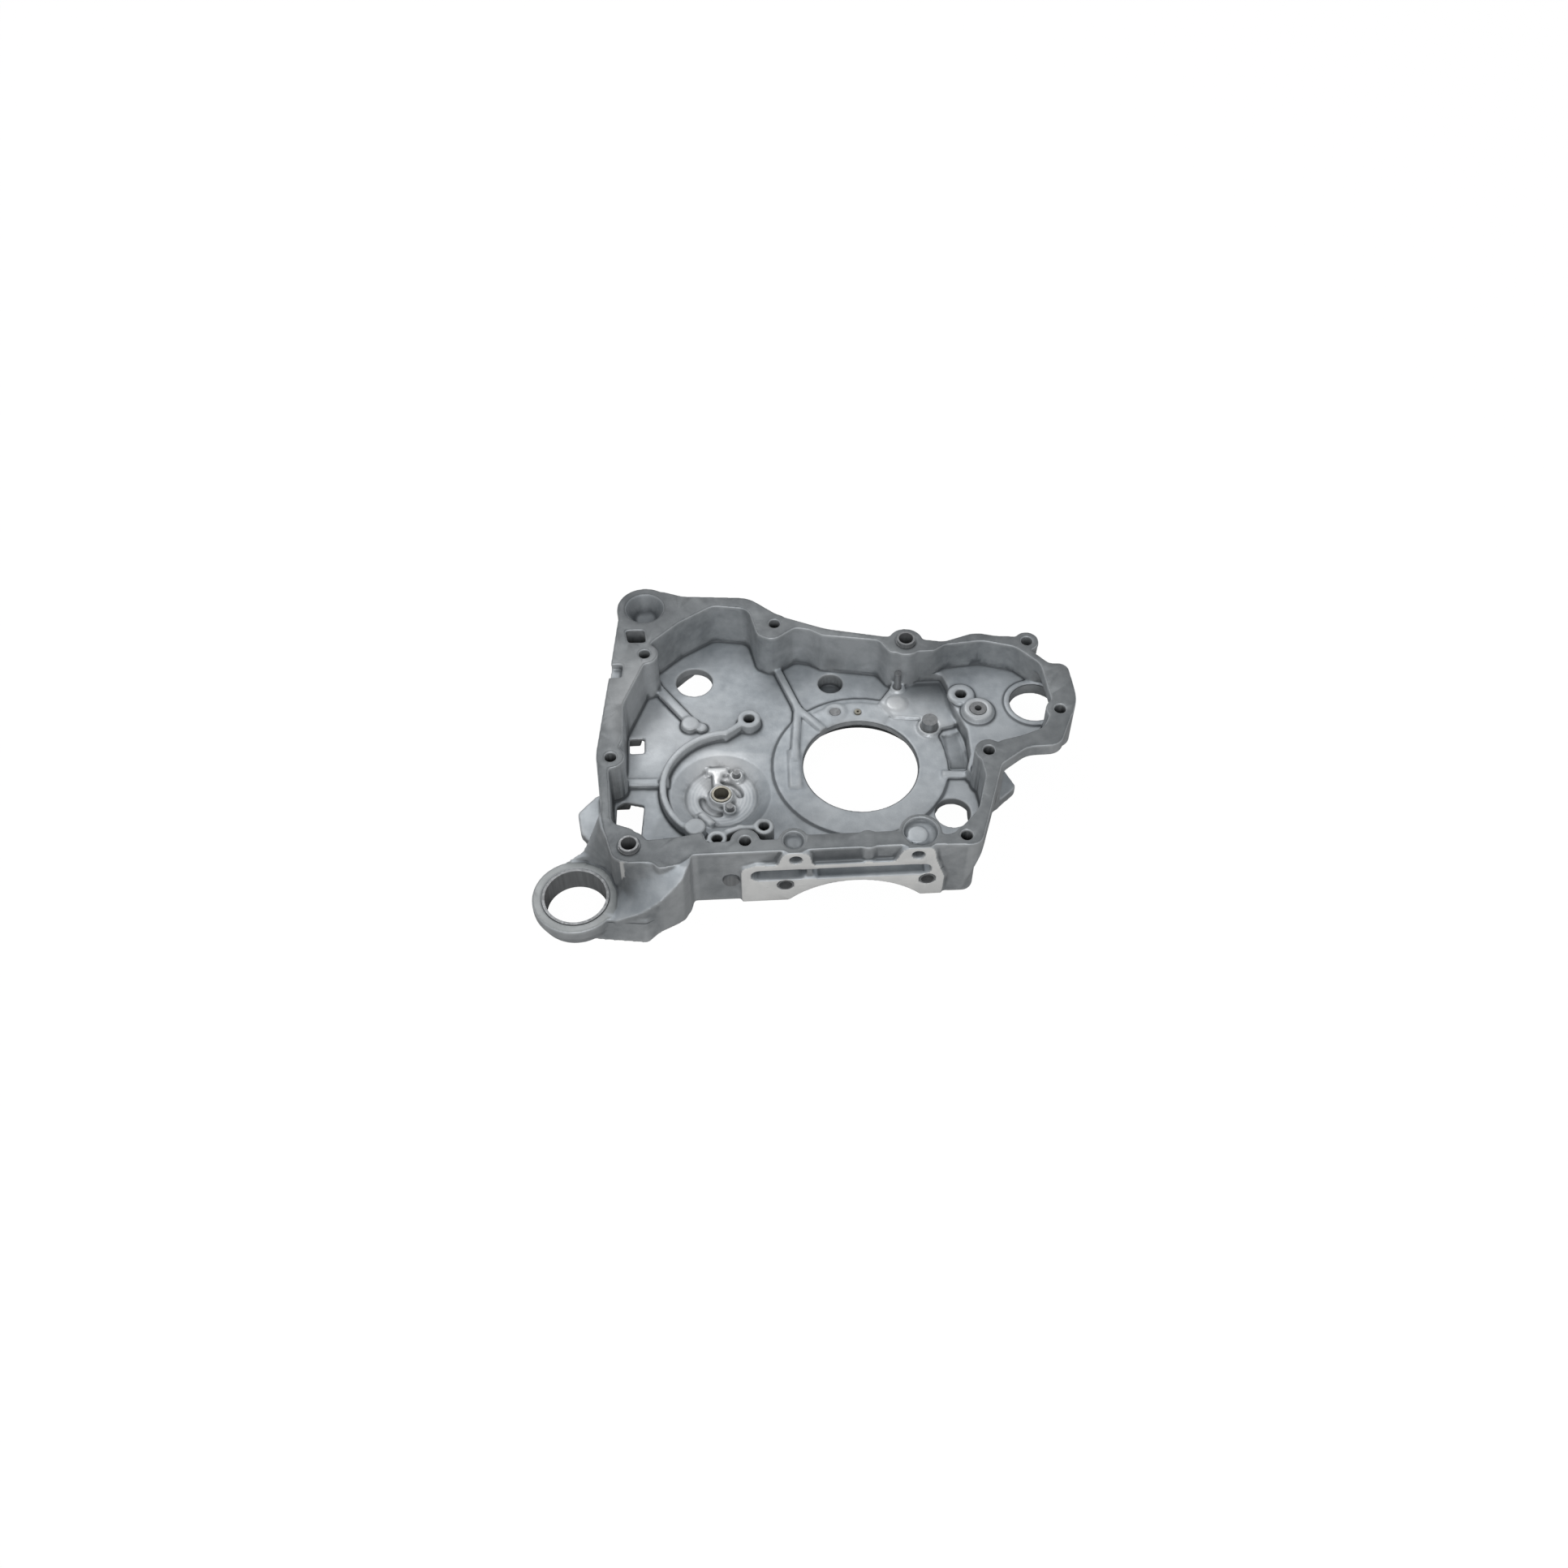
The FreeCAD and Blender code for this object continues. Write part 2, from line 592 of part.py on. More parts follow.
def pump_details():
    """The shaft boss, pin bosses and short ribs in the pump seat."""
    low = floor_top - pump_depth
    parts = [post(pump_x, pump_y, pump_boss_radius, low - 1, low + pump_boss_height)]
    for x, y in pump_pins:
        parts.append(post(x, y, pump_pin_boss_radius, low - 1, low + pump_pin_boss_height))
    for start, end, width, height in pump_ribs:
        parts.append(bar(start, end, width, low - 1, low + height))
    return parts


def kidney(start, end):
    """A port sunk along an arc round the pump shaft."""
    low = floor_top - pump_depth - kidney_depth
    ring = sector_wall(pump_x, pump_y, kidney_radius + kidney_width / 2, kidney_radius - kidney_width / 2,
                       start, end, low, floor_top + 2)
    tips = [post(pump_x + kidney_radius * math.cos(math.radians(a)),
                 pump_y + kidney_radius * math.sin(math.radians(a)), kidney_width / 2, low, floor_top + 2)
            for a in (start, end)]
    return ring.fuse(tips)


def front_bosses():
    """Bosses in the front rim, and the bracket that stands free behind it."""
    parts = [
        post(*left_recess, left_recess_boss, floor_top - 1, rim_height),
        post(*right_recess, right_recess_boss, floor_top - 1, rim_height),
        post(*middle_bump, middle_bump_radius, middle_bump_bottom, rim_height),
    ]
    for x, end in zip(base_ear_x, base_ear_boss_end):
        parts.append(rod_y(x, base_ear_screw_z, base_ear_boss_radius, base_face_y + 3, end))
    for x, y in bracket_screws:
        parts.append(post(x, y, bracket_boss_radius, floor_top - 1, bracket_height))
    for start, end in zip(bracket_link[:-1], bracket_link[1:]):
        parts.append(bar(start, end, bracket_rib_width, floor_top - 1, bracket_height - 0.6))
    return parts


def rim_holes():
    """Screw holes, dowel seats, recesses and notches in the gasket rim and the bracket."""
    cuts = [screw_hole(x, y, cover_screw_radius, rim_height, cover_screw_depth)
            for x, y, r, foot in cover_screws]
    cuts.append(post(ear_x, ear_y, cover_screw_radius, ear_bottom - through, rim_height + through))
    for x, y in cover_dowels:
        cuts.append(post(x, y, dowel_outer_radius + pin_shoulder, rim_height - dowel_seat_depth,
                         rim_height + through))
    for x, y in bracket_screws:
        cuts.append(screw_hole(x, y, bracket_screw_radius, bracket_height, bracket_screw_depth))
    cuts.append(Part.makeCone(rear_boss_end, rear_boss_mouth, rear_boss_depth,
                              Vector(*rear_boss, rim_height - rear_boss_depth)))
    cuts.append(prism(corner_pocket, rim_height - corner_pocket_depth, rim_height + through))
    cuts.append(prism(flank_notch, rim_height - flank_notch_depth, rim_height + through))
    cuts.append(post(*left_recess, left_recess_radius, rim_height - recess_depth, rim_height + through))
    ring = post(*right_recess, right_recess_radius, rim_height - recess_depth, rim_height + through)
    cuts.append(ring.cut(post(right_recess[0] - 1.4, right_recess[1] - 1, 4.4, 0, rim_height - 0.8)))
    return cuts


def floor_holes():
    """Windows, bores and small holes in the floor and the deck."""
    top = floor_top
    low = top - pump_depth
    cuts = [
        post(0, 0, bearing_lip_radius, -through, rim_height),
        post(0, 0, insert_radius, -through, seat_depth),
        post(eye_x, eye_y, eye_bore_radius, -through, eye_height + through),
        post(starter_x, starter_y, starter_bore_radius, deck_bottom - through, starter_relief_top),
        post(starter_x, starter_y, starter_relief_radius, deck_top + starter_ring_height, starter_relief_top),
        post(breather_x, breather_y, breather_radius, -through, rim_height),
        post(return_x, return_y, return_radius, return_bottom, rim_height - 12),
        post(blind_x, blind_y, blind_radius, top - blind_depth, top + 6),
        prism(sump_window, -through, top + 4),
        prism(sump_relief, -through, top - window_web),
        prism(strainer_window, -through, top + 4),
        prism(strainer_relief, -through, top - window_web),
        prism(drain_channel, top - drain_depth, top + 6),
        screw_hole(*stop_screw_place, inner_screw_radius, deck_top + stop_boss_height, inner_screw_depth),
        screw_hole(*splash_boss, inner_screw_radius, top + splash_wall_height, inner_screw_depth),
        post(pump_x, pump_y, pump_shaft_radius + pump_bush_wall, low + pump_boss_height - pump_bush_length,
             top + 2),
        post(*oil_plug_place, plug_radius, top + oil_plug_boss_height - plug_depth, top + 4),
        post(*oil_jet_place, jet_radius, top + jet_pad_height - jet_depth, top + 4),
        post(*guide_pin_place, guide_pin_radius + pin_shoulder, top + guide_pin_boss_height - guide_pin_grip,
             top + 20),
        post(*pivot_place, pivot_radius + pin_shoulder, top + pad_height - pivot_grip, top + 20),
        post(*idler_place, idler_bush_radius, deck_top + idler_seat_height - idler_bush_length, deck_top + 9),
    ]
    cuts += [kidney(start, end) for start, end in kidney_angles]
    for x, y in pump_pins:
        cuts.append(post(x, y, pump_pin_radius + pin_shoulder, low + pump_pin_boss_height - pump_pin_grip,
                         top))
    for x, y in split_screws:
        cuts.append(under_hole(x, y, split_screw_radius, split_screw_depth))
    return cuts


def crankcase_casting():
    """The one-piece aluminium casting."""
    body = outer_shell()
    body = body.fuse([
        prism(left_tab_outline, 0, left_tab_height), prism(right_tab_outline, 0, right_tab_height),
        cylinder_base(),
        post(*rear_boss, rear_boss_radius, 0, rim_height), hanger_arm(),
    ])
    body = body.cut(bowl_cutters())
    body = body.cut(underside())
    columns = [post(x, y, radius, foot, rim_height) for x, y, radius, foot in cover_screws]
    columns += [post(x, y, dowel_column_radius, 0, rim_height) for x, y in cover_dowels]
    columns.append(post(ear_x, ear_y, ear_radius, ear_bottom, rim_height))
    body = body.fuse(columns + floor_details() + deck_details() + front_bosses())
    body = body.cut(pump_seat())
    body = body.fuse(pump_details())
    return body.cut(base_cuts() + rim_holes() + floor_holes()).removeSplitter()


def main_bearing_insert():
    """The iron ring cast round the outer race of the main bearing."""
    return tube(0, 0, insert_radius, bearing_seat_radius, 0, seat_depth)


def hanger_eye_sleeve():
    return tube(eye_x, eye_y, eye_bore_radius, eye_bore_radius - sleeve_wall, 0, eye_height)


def shouldered_pin(x, y, radius, grip, low, high):
    """A pressed pin, thicker over the grip that sits in the casting."""
    return post(x, y, radius + pin_shoulder, low, low + grip).fuse(post(x, y, radius, low + grip, high))


def cover_dowel(place):
    low = rim_height - dowel_seat_depth
    high = low + dowel_length
    pin = shouldered_pin(*place, dowel_outer_radius, dowel_seat_depth, low, high)
    return pin.cut(post(*place, dowel_inner_radius, low - through, high + through))


def stud_insert(x):
    """A threaded steel sleeve for one cylinder stud."""
    outer = rod_y(x, base_stud_z, base_stud_radius + stud_insert_wall, base_face_y,
                  base_face_y + stud_insert_length)
    return outer.cut(rod_y(x, base_stud_z, base_stud_radius, base_face_y - 1, base_face_y + 20))


def pump_shaft_bush():
    top = floor_top - pump_depth + pump_boss_height
    return tube(pump_x, pump_y, pump_shaft_radius + pump_bush_wall, pump_shaft_radius,
                top - pump_bush_length, top)


def pump_locating_pin(place):
    low = floor_top - pump_depth + pump_pin_boss_height - pump_pin_grip
    return shouldered_pin(*place, pump_pin_radius, pump_pin_grip, low, low + pump_pin_grip + pump_pin_height)


def gallery_plug():
    low = floor_top + oil_plug_boss_height - plug_depth
    return post(*oil_plug_place, plug_radius, low, low + plug_depth - 0.4)


def oil_jet():
    low = floor_top + jet_pad_height - jet_depth
    return tube(*oil_jet_place, jet_radius, jet_bore, low, low + jet_depth + 0.3)


def chain_guide_pin():
    low = floor_top + guide_pin_boss_height - guide_pin_grip
    high = low + guide_pin_grip + guide_pin_height
    return shouldered_pin(*guide_pin_place, guide_pin_radius, guide_pin_grip, low, high)


def tensioner_pivot():
    low = floor_top + pad_height - pivot_grip
    return shouldered_pin(*pivot_place, pivot_radius, pivot_grip, low, low + pivot_grip + pivot_height)


def idler_bush():
    low = deck_top + idler_seat_height - idler_bush_length
    return tube(*idler_place, idler_bush_radius, idler_bush_bore, low, low + idler_bush_length)


def side_gallery_plug():
    x, z = side_plug_place
    start = front_wall_y - side_plug_proud
    return rod_y(x, z, side_plug_radius, start, start + side_plug_length)


pieces = {
    "crankcase_casting": crankcase_casting(),
    "main_bearing_insert": main_bearing_insert(),
    "hanger_eye_sleeve": hanger_eye_sleeve(),
    "cover_dowel_upper": cover_dowel(cover_dowels[0]),
    "cover_dowel_lower": cover_dowel(cover_dowels[1]),
    "stud_insert_left": stud_insert(base_stud_x[0]),
    "stud_insert_right": stud_insert(base_stud_x[1]),
    "pump_shaft_bush": pump_shaft_bush(),
    "pump_pin_front": pump_locating_pin(pump_pins[0]),
    "pump_pin_rear": pump_locating_pin(pump_pins[1]),
    "oil_gallery_plug": gallery_plug(),
    "oil_jet": oil_jet(),
    "chain_guide_pin": chain_guide_pin(),
    "tensioner_pivot": tensioner_pivot(),
    "idler_shaft_bush": idler_bush(),
    "side_gallery_plug": side_gallery_plug(),
}

os.makedirs("parts", exist_ok=True)
for name, shape in pieces.items():
    print(name, "valid", shape.isValid(), "solids", len(shape.Solids), "volume", round(shape.Volume, 1))
    shape.exportStep("parts/" + name + ".step")
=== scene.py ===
"""Looks of the crankcase half: soft cast edges, aluminium and steel finishes, light and camera."""
import json
import math

import bmesh
import bpy
import numpy as np
from mathutils import Matrix, Vector
from mathutils.bvhtree import BVHTree


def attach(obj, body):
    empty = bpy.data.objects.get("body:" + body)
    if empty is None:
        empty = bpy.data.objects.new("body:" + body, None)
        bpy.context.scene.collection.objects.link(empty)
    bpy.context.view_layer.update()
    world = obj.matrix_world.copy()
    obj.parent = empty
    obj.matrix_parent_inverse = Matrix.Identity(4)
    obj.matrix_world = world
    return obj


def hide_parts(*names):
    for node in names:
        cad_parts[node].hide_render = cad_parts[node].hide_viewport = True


MM = 0.001

# Places on the casting, in mm
RIM_HEIGHT = 34.5
BASE_FACE_Y = -64.6
EYE_CENTRE = (-127.3, -65.9)
EYE_RADIUS = 18.6
EYE_HEIGHT = 12.0
FLOOR_TOP = 10.0
LAND_TOP = 10.8
DECK_TOP = 18.0
PUMP_CENTRE = (-63.5, -12.7)
PUMP_SEAT_RADIUS = 17.0

# Corners of the thin wall between the left stud sleeve and the side slot, in mm
STUD_WALL_LOW = (-39.3, -64.2, 14.6)
STUD_WALL_HIGH = (-35.7, -57.5, 15.28)

# Remesh and rounding: cell size in mm, most triangles, then rounds and share of each round
VOXEL = 0.55
FACE_LIMIT = 195000
SOFT_ROUNDS = 5
SOFT_SHARE = 0.5

# Rear wall, which is rounded further: where it begins in mm, and how steep it is
REAR_WALL_FROM_Y = 36
REAR_WALL_FROM_Z = 14
REAR_WALL_BELOW_RIM = 2
REAR_WALL_UPRIGHT = 0.3
REAR_WALL_ROUNDS = 40

# Milled faces: distance from their plane in mm, how squarely they face it, and the ring's margin in mm
MILLED_DEPTH = 0.35
MILLED_FACING = 0.8
RING_MARGIN = 0.3

# Rays that find covered places: number, reach and lift in mm, and how much less the farthest cover counts
SHADE_RAYS = 14
SHADE_REACH = 9.0
SHADE_LIFT = 0.3
SHADE_FADE = 0.5
NEARLY_FLAT = 0.7

# Painted values: rounds of averaging, then the limits between which each value runs from 0 to 1
BEND_ROUNDS = 4
BLUR_ROUNDS = 2
HOLLOW_LIMITS = (0.03, 0.17)
EDGE_LIMITS = (0.02, 0.20)
SHADE_LIMITS = (0.15, 0.85)
WALL_LIMITS = (0.3, 0.7)
TURNED_LIMITS = (0.9, 1.1)
RIM_EDGE_SHARE = 0.25

# Spots of painted highlight, and of painted shade where the strength is below 0: x, y, radius, strength
PAINTED_LIGHT_SPOTS = [
    (-62.5, 1, 11, 1.0), (-63.5, -13, 9, 0.6), (19.2, 34, 6, 0.9), (33.3, 20, 6, 0.8), (55.4, 22.2, 6, 0.7),
    (-92, 26, 20, 0.4), (-40, -34, 13, -0.9), (-106, -68, 11, -0.5), (-96, 81, 15, -0.6), (35, 51, 12, -0.4),
]

# Painted shade in and around the oil holes beside the slot of the cylinder base: places (x, z), then radius,
# fade and depth
OIL_HOLES = [(-47.6, 13.0), (-44.8, 12.8), (-22.6, 12.6)]
OIL_HOLE_RADIUS = 0.9
OIL_HOLE_FADE = 1.6
OIL_HOLE_DEPTH = 12

# Aluminium colours, dark and light
SKIN = ((0.405, 0.444, 0.480), (0.600, 0.640, 0.675))
# Painted shade: upright faces take these darker colours
SHADED_SIDES = ((0.270, 0.288, 0.302), (0.450, 0.470, 0.485))
# Painted reflection: the milled rim is darker, as a smooth face mirroring dark surroundings
RIM_PAINTED_REFLECTION = ((0.135, 0.149, 0.160), (0.250, 0.267, 0.280))
MILLED_BASE = ((0.74, 0.74, 0.725), (0.88, 0.875, 0.855))
MILLED_RING = (0.30, 0.32, 0.325)

# What lies over the aluminium: the most that it covers, and its colour. After the turning marks come a
# painted highlight on listed spots, a painted highlight on edges, then painted shade on dark spots, in
# hollows, along feet and in crevices
TURNING = (0.35, (0.80, 0.82, 0.84))
PAINTED_HIGHLIGHT = (0.8, (0.95, 0.96, 0.97))
PAINTED_EDGE_HIGHLIGHT = (0.35, (0.62, 0.64, 0.65))
PAINTED_DARK_SPOT = (0.8, (0.06, 0.067, 0.074))
PAINTED_HOLLOW_SHADE = (0.72, (0.05, 0.058, 0.065))
PAINTED_FOOT_SHADE = (0.7, (0.05, 0.058, 0.065))
PAINTED_CREVICE_SHADE = (0.88, (0.022, 0.025, 0.028))
CREVICE_POWER = 1.4

# Cast surface: scale and detail of clouds, grain and patches, then turning marks, roughness and shine
BROAD_CLOUDS = (28, 3)
SMALL_CLOUDS = (210, 5)
BROAD_SHARE = 0.6
CLOUD_LIMITS = (0.38, 0.62)
NOISE_ROUGHNESS = 0.55
GRAIN = (900, 6)
GRAIN_ROUGHNESS = 0.7
GRAIN_STRENGTH = 0.25
GRAIN_DEPTH = 0.00035
TURNING_PITCH = 0.0016
TURNING_WOBBLE = 0.6
WAVE_WIDTH = 0.314
ROUGH_PATCHES = (60, 4)
ROUGHNESS = (0.42, 0.6)
HIGHLIGHT_POLISH = 0.22
CAST_METALLIC = 0.35

# Flat levels, which get less painted shade: half height of the band in mm, steepness, and the share of
# painted shade left
RIM_BAND = (0.4, 0.65)
FLAT_BAND = (0.25, 0.7)
FLAT_SHADE_LEFT = 0.25
BAND_CORE = 0.6
UPRIGHT_SPAN = 0.2

# Foot lines of floor and deck, painted as dark lines of shade: half height in mm, steepness, and the X in mm
# from which they run
FOOT_HALF = 0.36
FOOT_UPRIGHT = 0.05
FLOOR_FROM = -120
DECK_FROM = 20

# Steel, iron, bronze and plugs: streaks, shine and bump
NOISE_LIMITS = (0.3, 0.7)
STREAKS = (700, 3)
STREAK_STRETCH = (1, 1, 0.08)
STREAK_SHADE = 0.72
STREAK_STRENGTH = 0.15
STREAK_DEPTH = 0.0001
STEEL_METALLIC = 0.6
SMOOTHER = 0.06
ROUGHER = 0.1

# Colour and roughness of each material slot
FINISHES = {
    "bright_steel": ((0.34, 0.35, 0.36), 0.45),
    "insert_iron": ((0.10, 0.105, 0.11), 0.5),
    "bush_bronze": ((0.42, 0.40, 0.34), 0.4),
    "plug_aluminium": ((0.34, 0.35, 0.36), 0.42),
}

# White floor and surroundings, in metres
FLOOR_SIZE = 6
FLOOR_Z = -0.0004
FLOOR_GREY = (0.42, 0.42, 0.42, 1)
FLOOR_GLOW = 1.06
FLOOR_GLOW_SHARE = 0.93
SKY_STRENGTH = 0.38
SKY_STRENGTH_SEEN = 1.0

# Lights: name, place in metres and power in watts
LIGHTS = [("top_light", (-0.25, 0.55, 0.9), 2.4), ("front_light", (-0.1, -0.95, 0.7), 4.5)]
LIGHT_TARGET = (-0.02, 0, 0)
LIGHT_SIZE = 0.5

# Camera: place in metres, turn and tilt, sensor in mm, focal length and picture width in pixels
CAMERA_PLACE = (-0.0606838, -0.4794100, 0.6136847)
TURN = math.radians(3.1)
TILT = math.radians(52)
SENSOR_WIDTH = 36.0
FOCAL_PIXELS = 2100
PICTURE_PIXELS = 1932
CLIP_START = 0.01

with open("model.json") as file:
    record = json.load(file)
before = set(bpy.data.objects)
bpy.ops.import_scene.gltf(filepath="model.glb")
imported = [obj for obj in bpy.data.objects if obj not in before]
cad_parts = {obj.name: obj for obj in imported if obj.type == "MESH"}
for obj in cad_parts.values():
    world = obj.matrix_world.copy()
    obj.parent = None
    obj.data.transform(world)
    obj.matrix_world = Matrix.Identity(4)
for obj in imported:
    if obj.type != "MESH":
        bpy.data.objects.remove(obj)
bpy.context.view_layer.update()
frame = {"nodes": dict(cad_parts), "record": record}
nodes = frame["nodes"]
scene = bpy.context.scene


# Meshes
def baked_copy(source, name, modifiers):
    """A copy of an object with modifiers applied, given as (type, settings)."""
    copy = bpy.data.objects.new(name, source.data.copy())
    scene.collection.objects.link(copy)
    for kind, settings in modifiers:
        modifier = copy.modifiers.new(kind.lower(), kind)
        for key, value in settings.items():
            setattr(modifier, key, value)
    graph = bpy.context.evaluated_depsgraph_get()
    mesh = bpy.data.meshes.new_from_object(copy.evaluated_get(graph))
    copy.modifiers.clear()
    copy.data = mesh
    return copy


def add_block(mesh, low, high):
    """Adds a closed block between two corners given in mm, so that a thin wall there outlives the remesh."""
    middle = (Vector(low) + Vector(high)) / 2 * MM
    size = (Vector(high) - Vector(low)) * MM
    body = bmesh.new()
    body.from_mesh(mesh)
    bmesh.ops.create_cube(body, size=1, matrix=Matrix.LocRotScale(middle, None, size))
    body.to_mesh(mesh)
    body.free()


def vertex_arrays(mesh):
    """Positions in mm, normals, edges and numbers of neighbours of a mesh."""
    count = len(mesh.vertices)
    places = np.empty(count * 3, np.float32)
    mesh.vertices.foreach_get("co", places)
    normals = np.empty(count * 3, np.float32)
    mesh.vertex_normals.foreach_get("vector", normals)
    edges = np.empty(len(mesh.edges) * 2, np.int32)
    mesh.edges.foreach_get("vertices", edges)
    places = places.reshape(-1, 3).astype(float) / MM
    normals = normals.reshape(-1, 3).astype(float)
    counts = np.bincount(edges, minlength=count).reshape(-1, 1)
    return places, normals, edges.reshape(-1, 2), counts


def neighbour_mean(values, edges, counts):
    """The mean of each vertex's neighbours."""
    total = np.zeros_like(values)
    np.add.at(total, edges[:, 0], values[edges[:, 1]])
    np.add.at(total, edges[:, 1], values[edges[:, 0]])
    return total / counts


def blurred(values, edges, counts, rounds):
    """Values after some rounds of averaging over the neighbours."""
    for _ in range(rounds):
        values = neighbour_mean(values, edges, counts)
    return values


def relax(places, edges, counts, free, rounds):
    """Moves vertices toward their neighbours' mean, each axis by its own share, in some rounds."""
    for _ in range(rounds):
        places += (neighbour_mean(places, edges, counts) - places) * free


def smoothstep(low, high, value):
    """0 below a low limit, 1 above a high one, and smooth between."""
    share = np.clip((value - low) / (high - low), 0, 1)
    return share * share * (3 - 2 * share)


def machined(places, normals):
    """True on the milled faces: gasket rim, cylinder base, split face and the eye's ring."""
    x, y, z = places.T
    rim = (np.abs(z - RIM_HEIGHT) < MILLED_DEPTH) & (normals[:, 2] > MILLED_FACING)
    base = (np.abs(y - BASE_FACE_Y) < MILLED_DEPTH) & (normals[:, 1] < -MILLED_FACING)
    split = (np.abs(z) < MILLED_DEPTH) & (normals[:, 2] < -MILLED_FACING)
    ring = np.hypot(x - EYE_CENTRE[0], y - EYE_CENTRE[1]) < EYE_RADIUS + RING_MARGIN
    ring &= (np.abs(z - EYE_HEIGHT) < MILLED_DEPTH) & (normals[:, 2] > MILLED_FACING)
    return rim, base, split, ring


def soften(mesh, rounds, share):
    """Rounds a casting's edges. Its milled faces are smoothed in their own plane only."""
    places, normals, edges, counts = vertex_arrays(mesh)
    rim, base, split, ring = machined(places, normals)
    free = np.full(places.shape, share)
    free[rim | split | ring, 2] = 0.0
    free[base, 1] = 0.0
    relax(places, edges, counts, free, rounds)
    y, z = places[:, 1], places[:, 2]
    rear_wall = (np.abs(normals[:, 2]) < REAR_WALL_UPRIGHT) & (y > REAR_WALL_FROM_Y)
    rear_wall &= (z > REAR_WALL_FROM_Z) & (z < RIM_HEIGHT - REAR_WALL_BELOW_RIM)
    free = np.where(rear_wall, share, 0.0).reshape(-1, 1) * (1.0, 1.0, 0.0)
    relax(places, edges, counts, free, REAR_WALL_ROUNDS)
    mesh.vertices.foreach_set("co", (places * MM).ravel())
    mesh.update()


def half_ball(count):
    """Directions spread over a half ball about +Z, denser near its pole."""
    steps = np.arange(count)
    spread = np.sqrt((steps + 0.5) / count)
    turn = steps * math.pi * (3 - math.sqrt(5))
    return np.stack([spread * np.cos(turn), spread * np.sin(turn), np.sqrt(1 - spread ** 2)], 1)


def covered_share(solid, places, normals):
    """How much of each vertex's outlook the part itself covers nearby: near 1 in holes and crevices."""
    graph = bpy.context.evaluated_depsgraph_get()
    tree = BVHTree.FromObject(solid, graph)
    flat = np.abs(normals[:, 2:]) > NEARLY_FLAT
    side = np.cross(normals, np.where(flat, (1.0, 0.0, 0.0), (0.0, 0.0, 1.0)))
    side /= np.linalg.norm(side, axis=1, keepdims=True)
    across = np.cross(normals, side)
    starts = [Vector(start) for start in ((places + normals * SHADE_LIFT) * MM).tolist()]
    reach = SHADE_REACH * MM
    covered = np.zeros(len(places))
    for dx, dy, dz in half_ball(SHADE_RAYS):
        rays = (side * dx + across * dy + normals * dz).tolist()
        for i, (start, ray) in enumerate(zip(starts, rays)):
            distance = tree.ray_cast(start, ray, reach)[3]
            if distance is not None:
                covered[i] += 1 - SHADE_FADE * distance / reach
    return covered / SHADE_RAYS


def paint_zones(solid):
    """Writes what the casting's material reads: milled faces, hollows, edges, spots of painted highlight and
    shade, and covered places.
    """
    mesh = solid.data
    places, normals, edges, counts = vertex_arrays(mesh)
    rim, base, _, ring = machined(places, normals)
    spread = blurred(places, edges, counts, BEND_ROUNDS)
    bend = ((spread - places) * normals).sum(1).reshape(-1, 1)
    bend = blurred(bend, edges, counts, BLUR_ROUNDS)[:, 0]
    shade = covered_share(solid, places, normals).reshape(-1, 1)
    shade = blurred(shade, edges, counts, BLUR_ROUNDS)[:, 0]
    x, y, z = places.T
    # Spots of painted highlight, and of painted shade below 0
    painted_light = np.zeros(len(places))
    for at_x, at_y, size, power in PAINTED_LIGHT_SPOTS:
        painted_light += power * np.exp(-((x - at_x) ** 2 + (y - at_y) ** 2) / size ** 2)
    painted_dark_spots = np.clip(-painted_light, 0, 1)
    # Painted shade in and around the oil holes
    for at_x, at_z in OIL_HOLES:
        away = np.hypot(x - at_x, z - at_z)
        inside = 1 - smoothstep(OIL_HOLE_RADIUS, OIL_HOLE_FADE * OIL_HOLE_RADIUS, away)
        painted_dark_spots = np.maximum(painted_dark_spots, np.where(y < BASE_FACE_Y + OIL_HOLE_DEPTH, inside, 0))
    from_pump = np.hypot(x - PUMP_CENTRE[0], y - PUMP_CENTRE[1]) / PUMP_SEAT_RADIUS
    zones = {
        "base": base,
        "ring": ring,
        "hollow": smoothstep(*HOLLOW_LIMITS, bend),
        "edge_highlight": smoothstep(*EDGE_LIMITS, -bend) * np.where(rim, RIM_EDGE_SHARE, 1.0),
        "shade": smoothstep(*SHADE_LIMITS, shade),
        "wall": smoothstep(*WALL_LIMITS, 1 - np.abs(normals[:, 2])),
        "painted_highlight": np.clip(painted_light, 0, 1),
        "painted_dark_spots": painted_dark_spots,
        "turned": 1 - smoothstep(*TURNED_LIMITS, from_pump),
    }
    for name, values in zones.items():
        attribute = mesh.attributes.new(name, "FLOAT", "POINT")
        attribute.data.foreach_set("value", np.asarray(values, np.float32))


# Materials
def typed_socket(sockets, name, kind):
    """The socket of a name and type, as the mix node has several of one name."""
    return [socket for socket in sockets if socket.name == name and socket.type == kind][0]


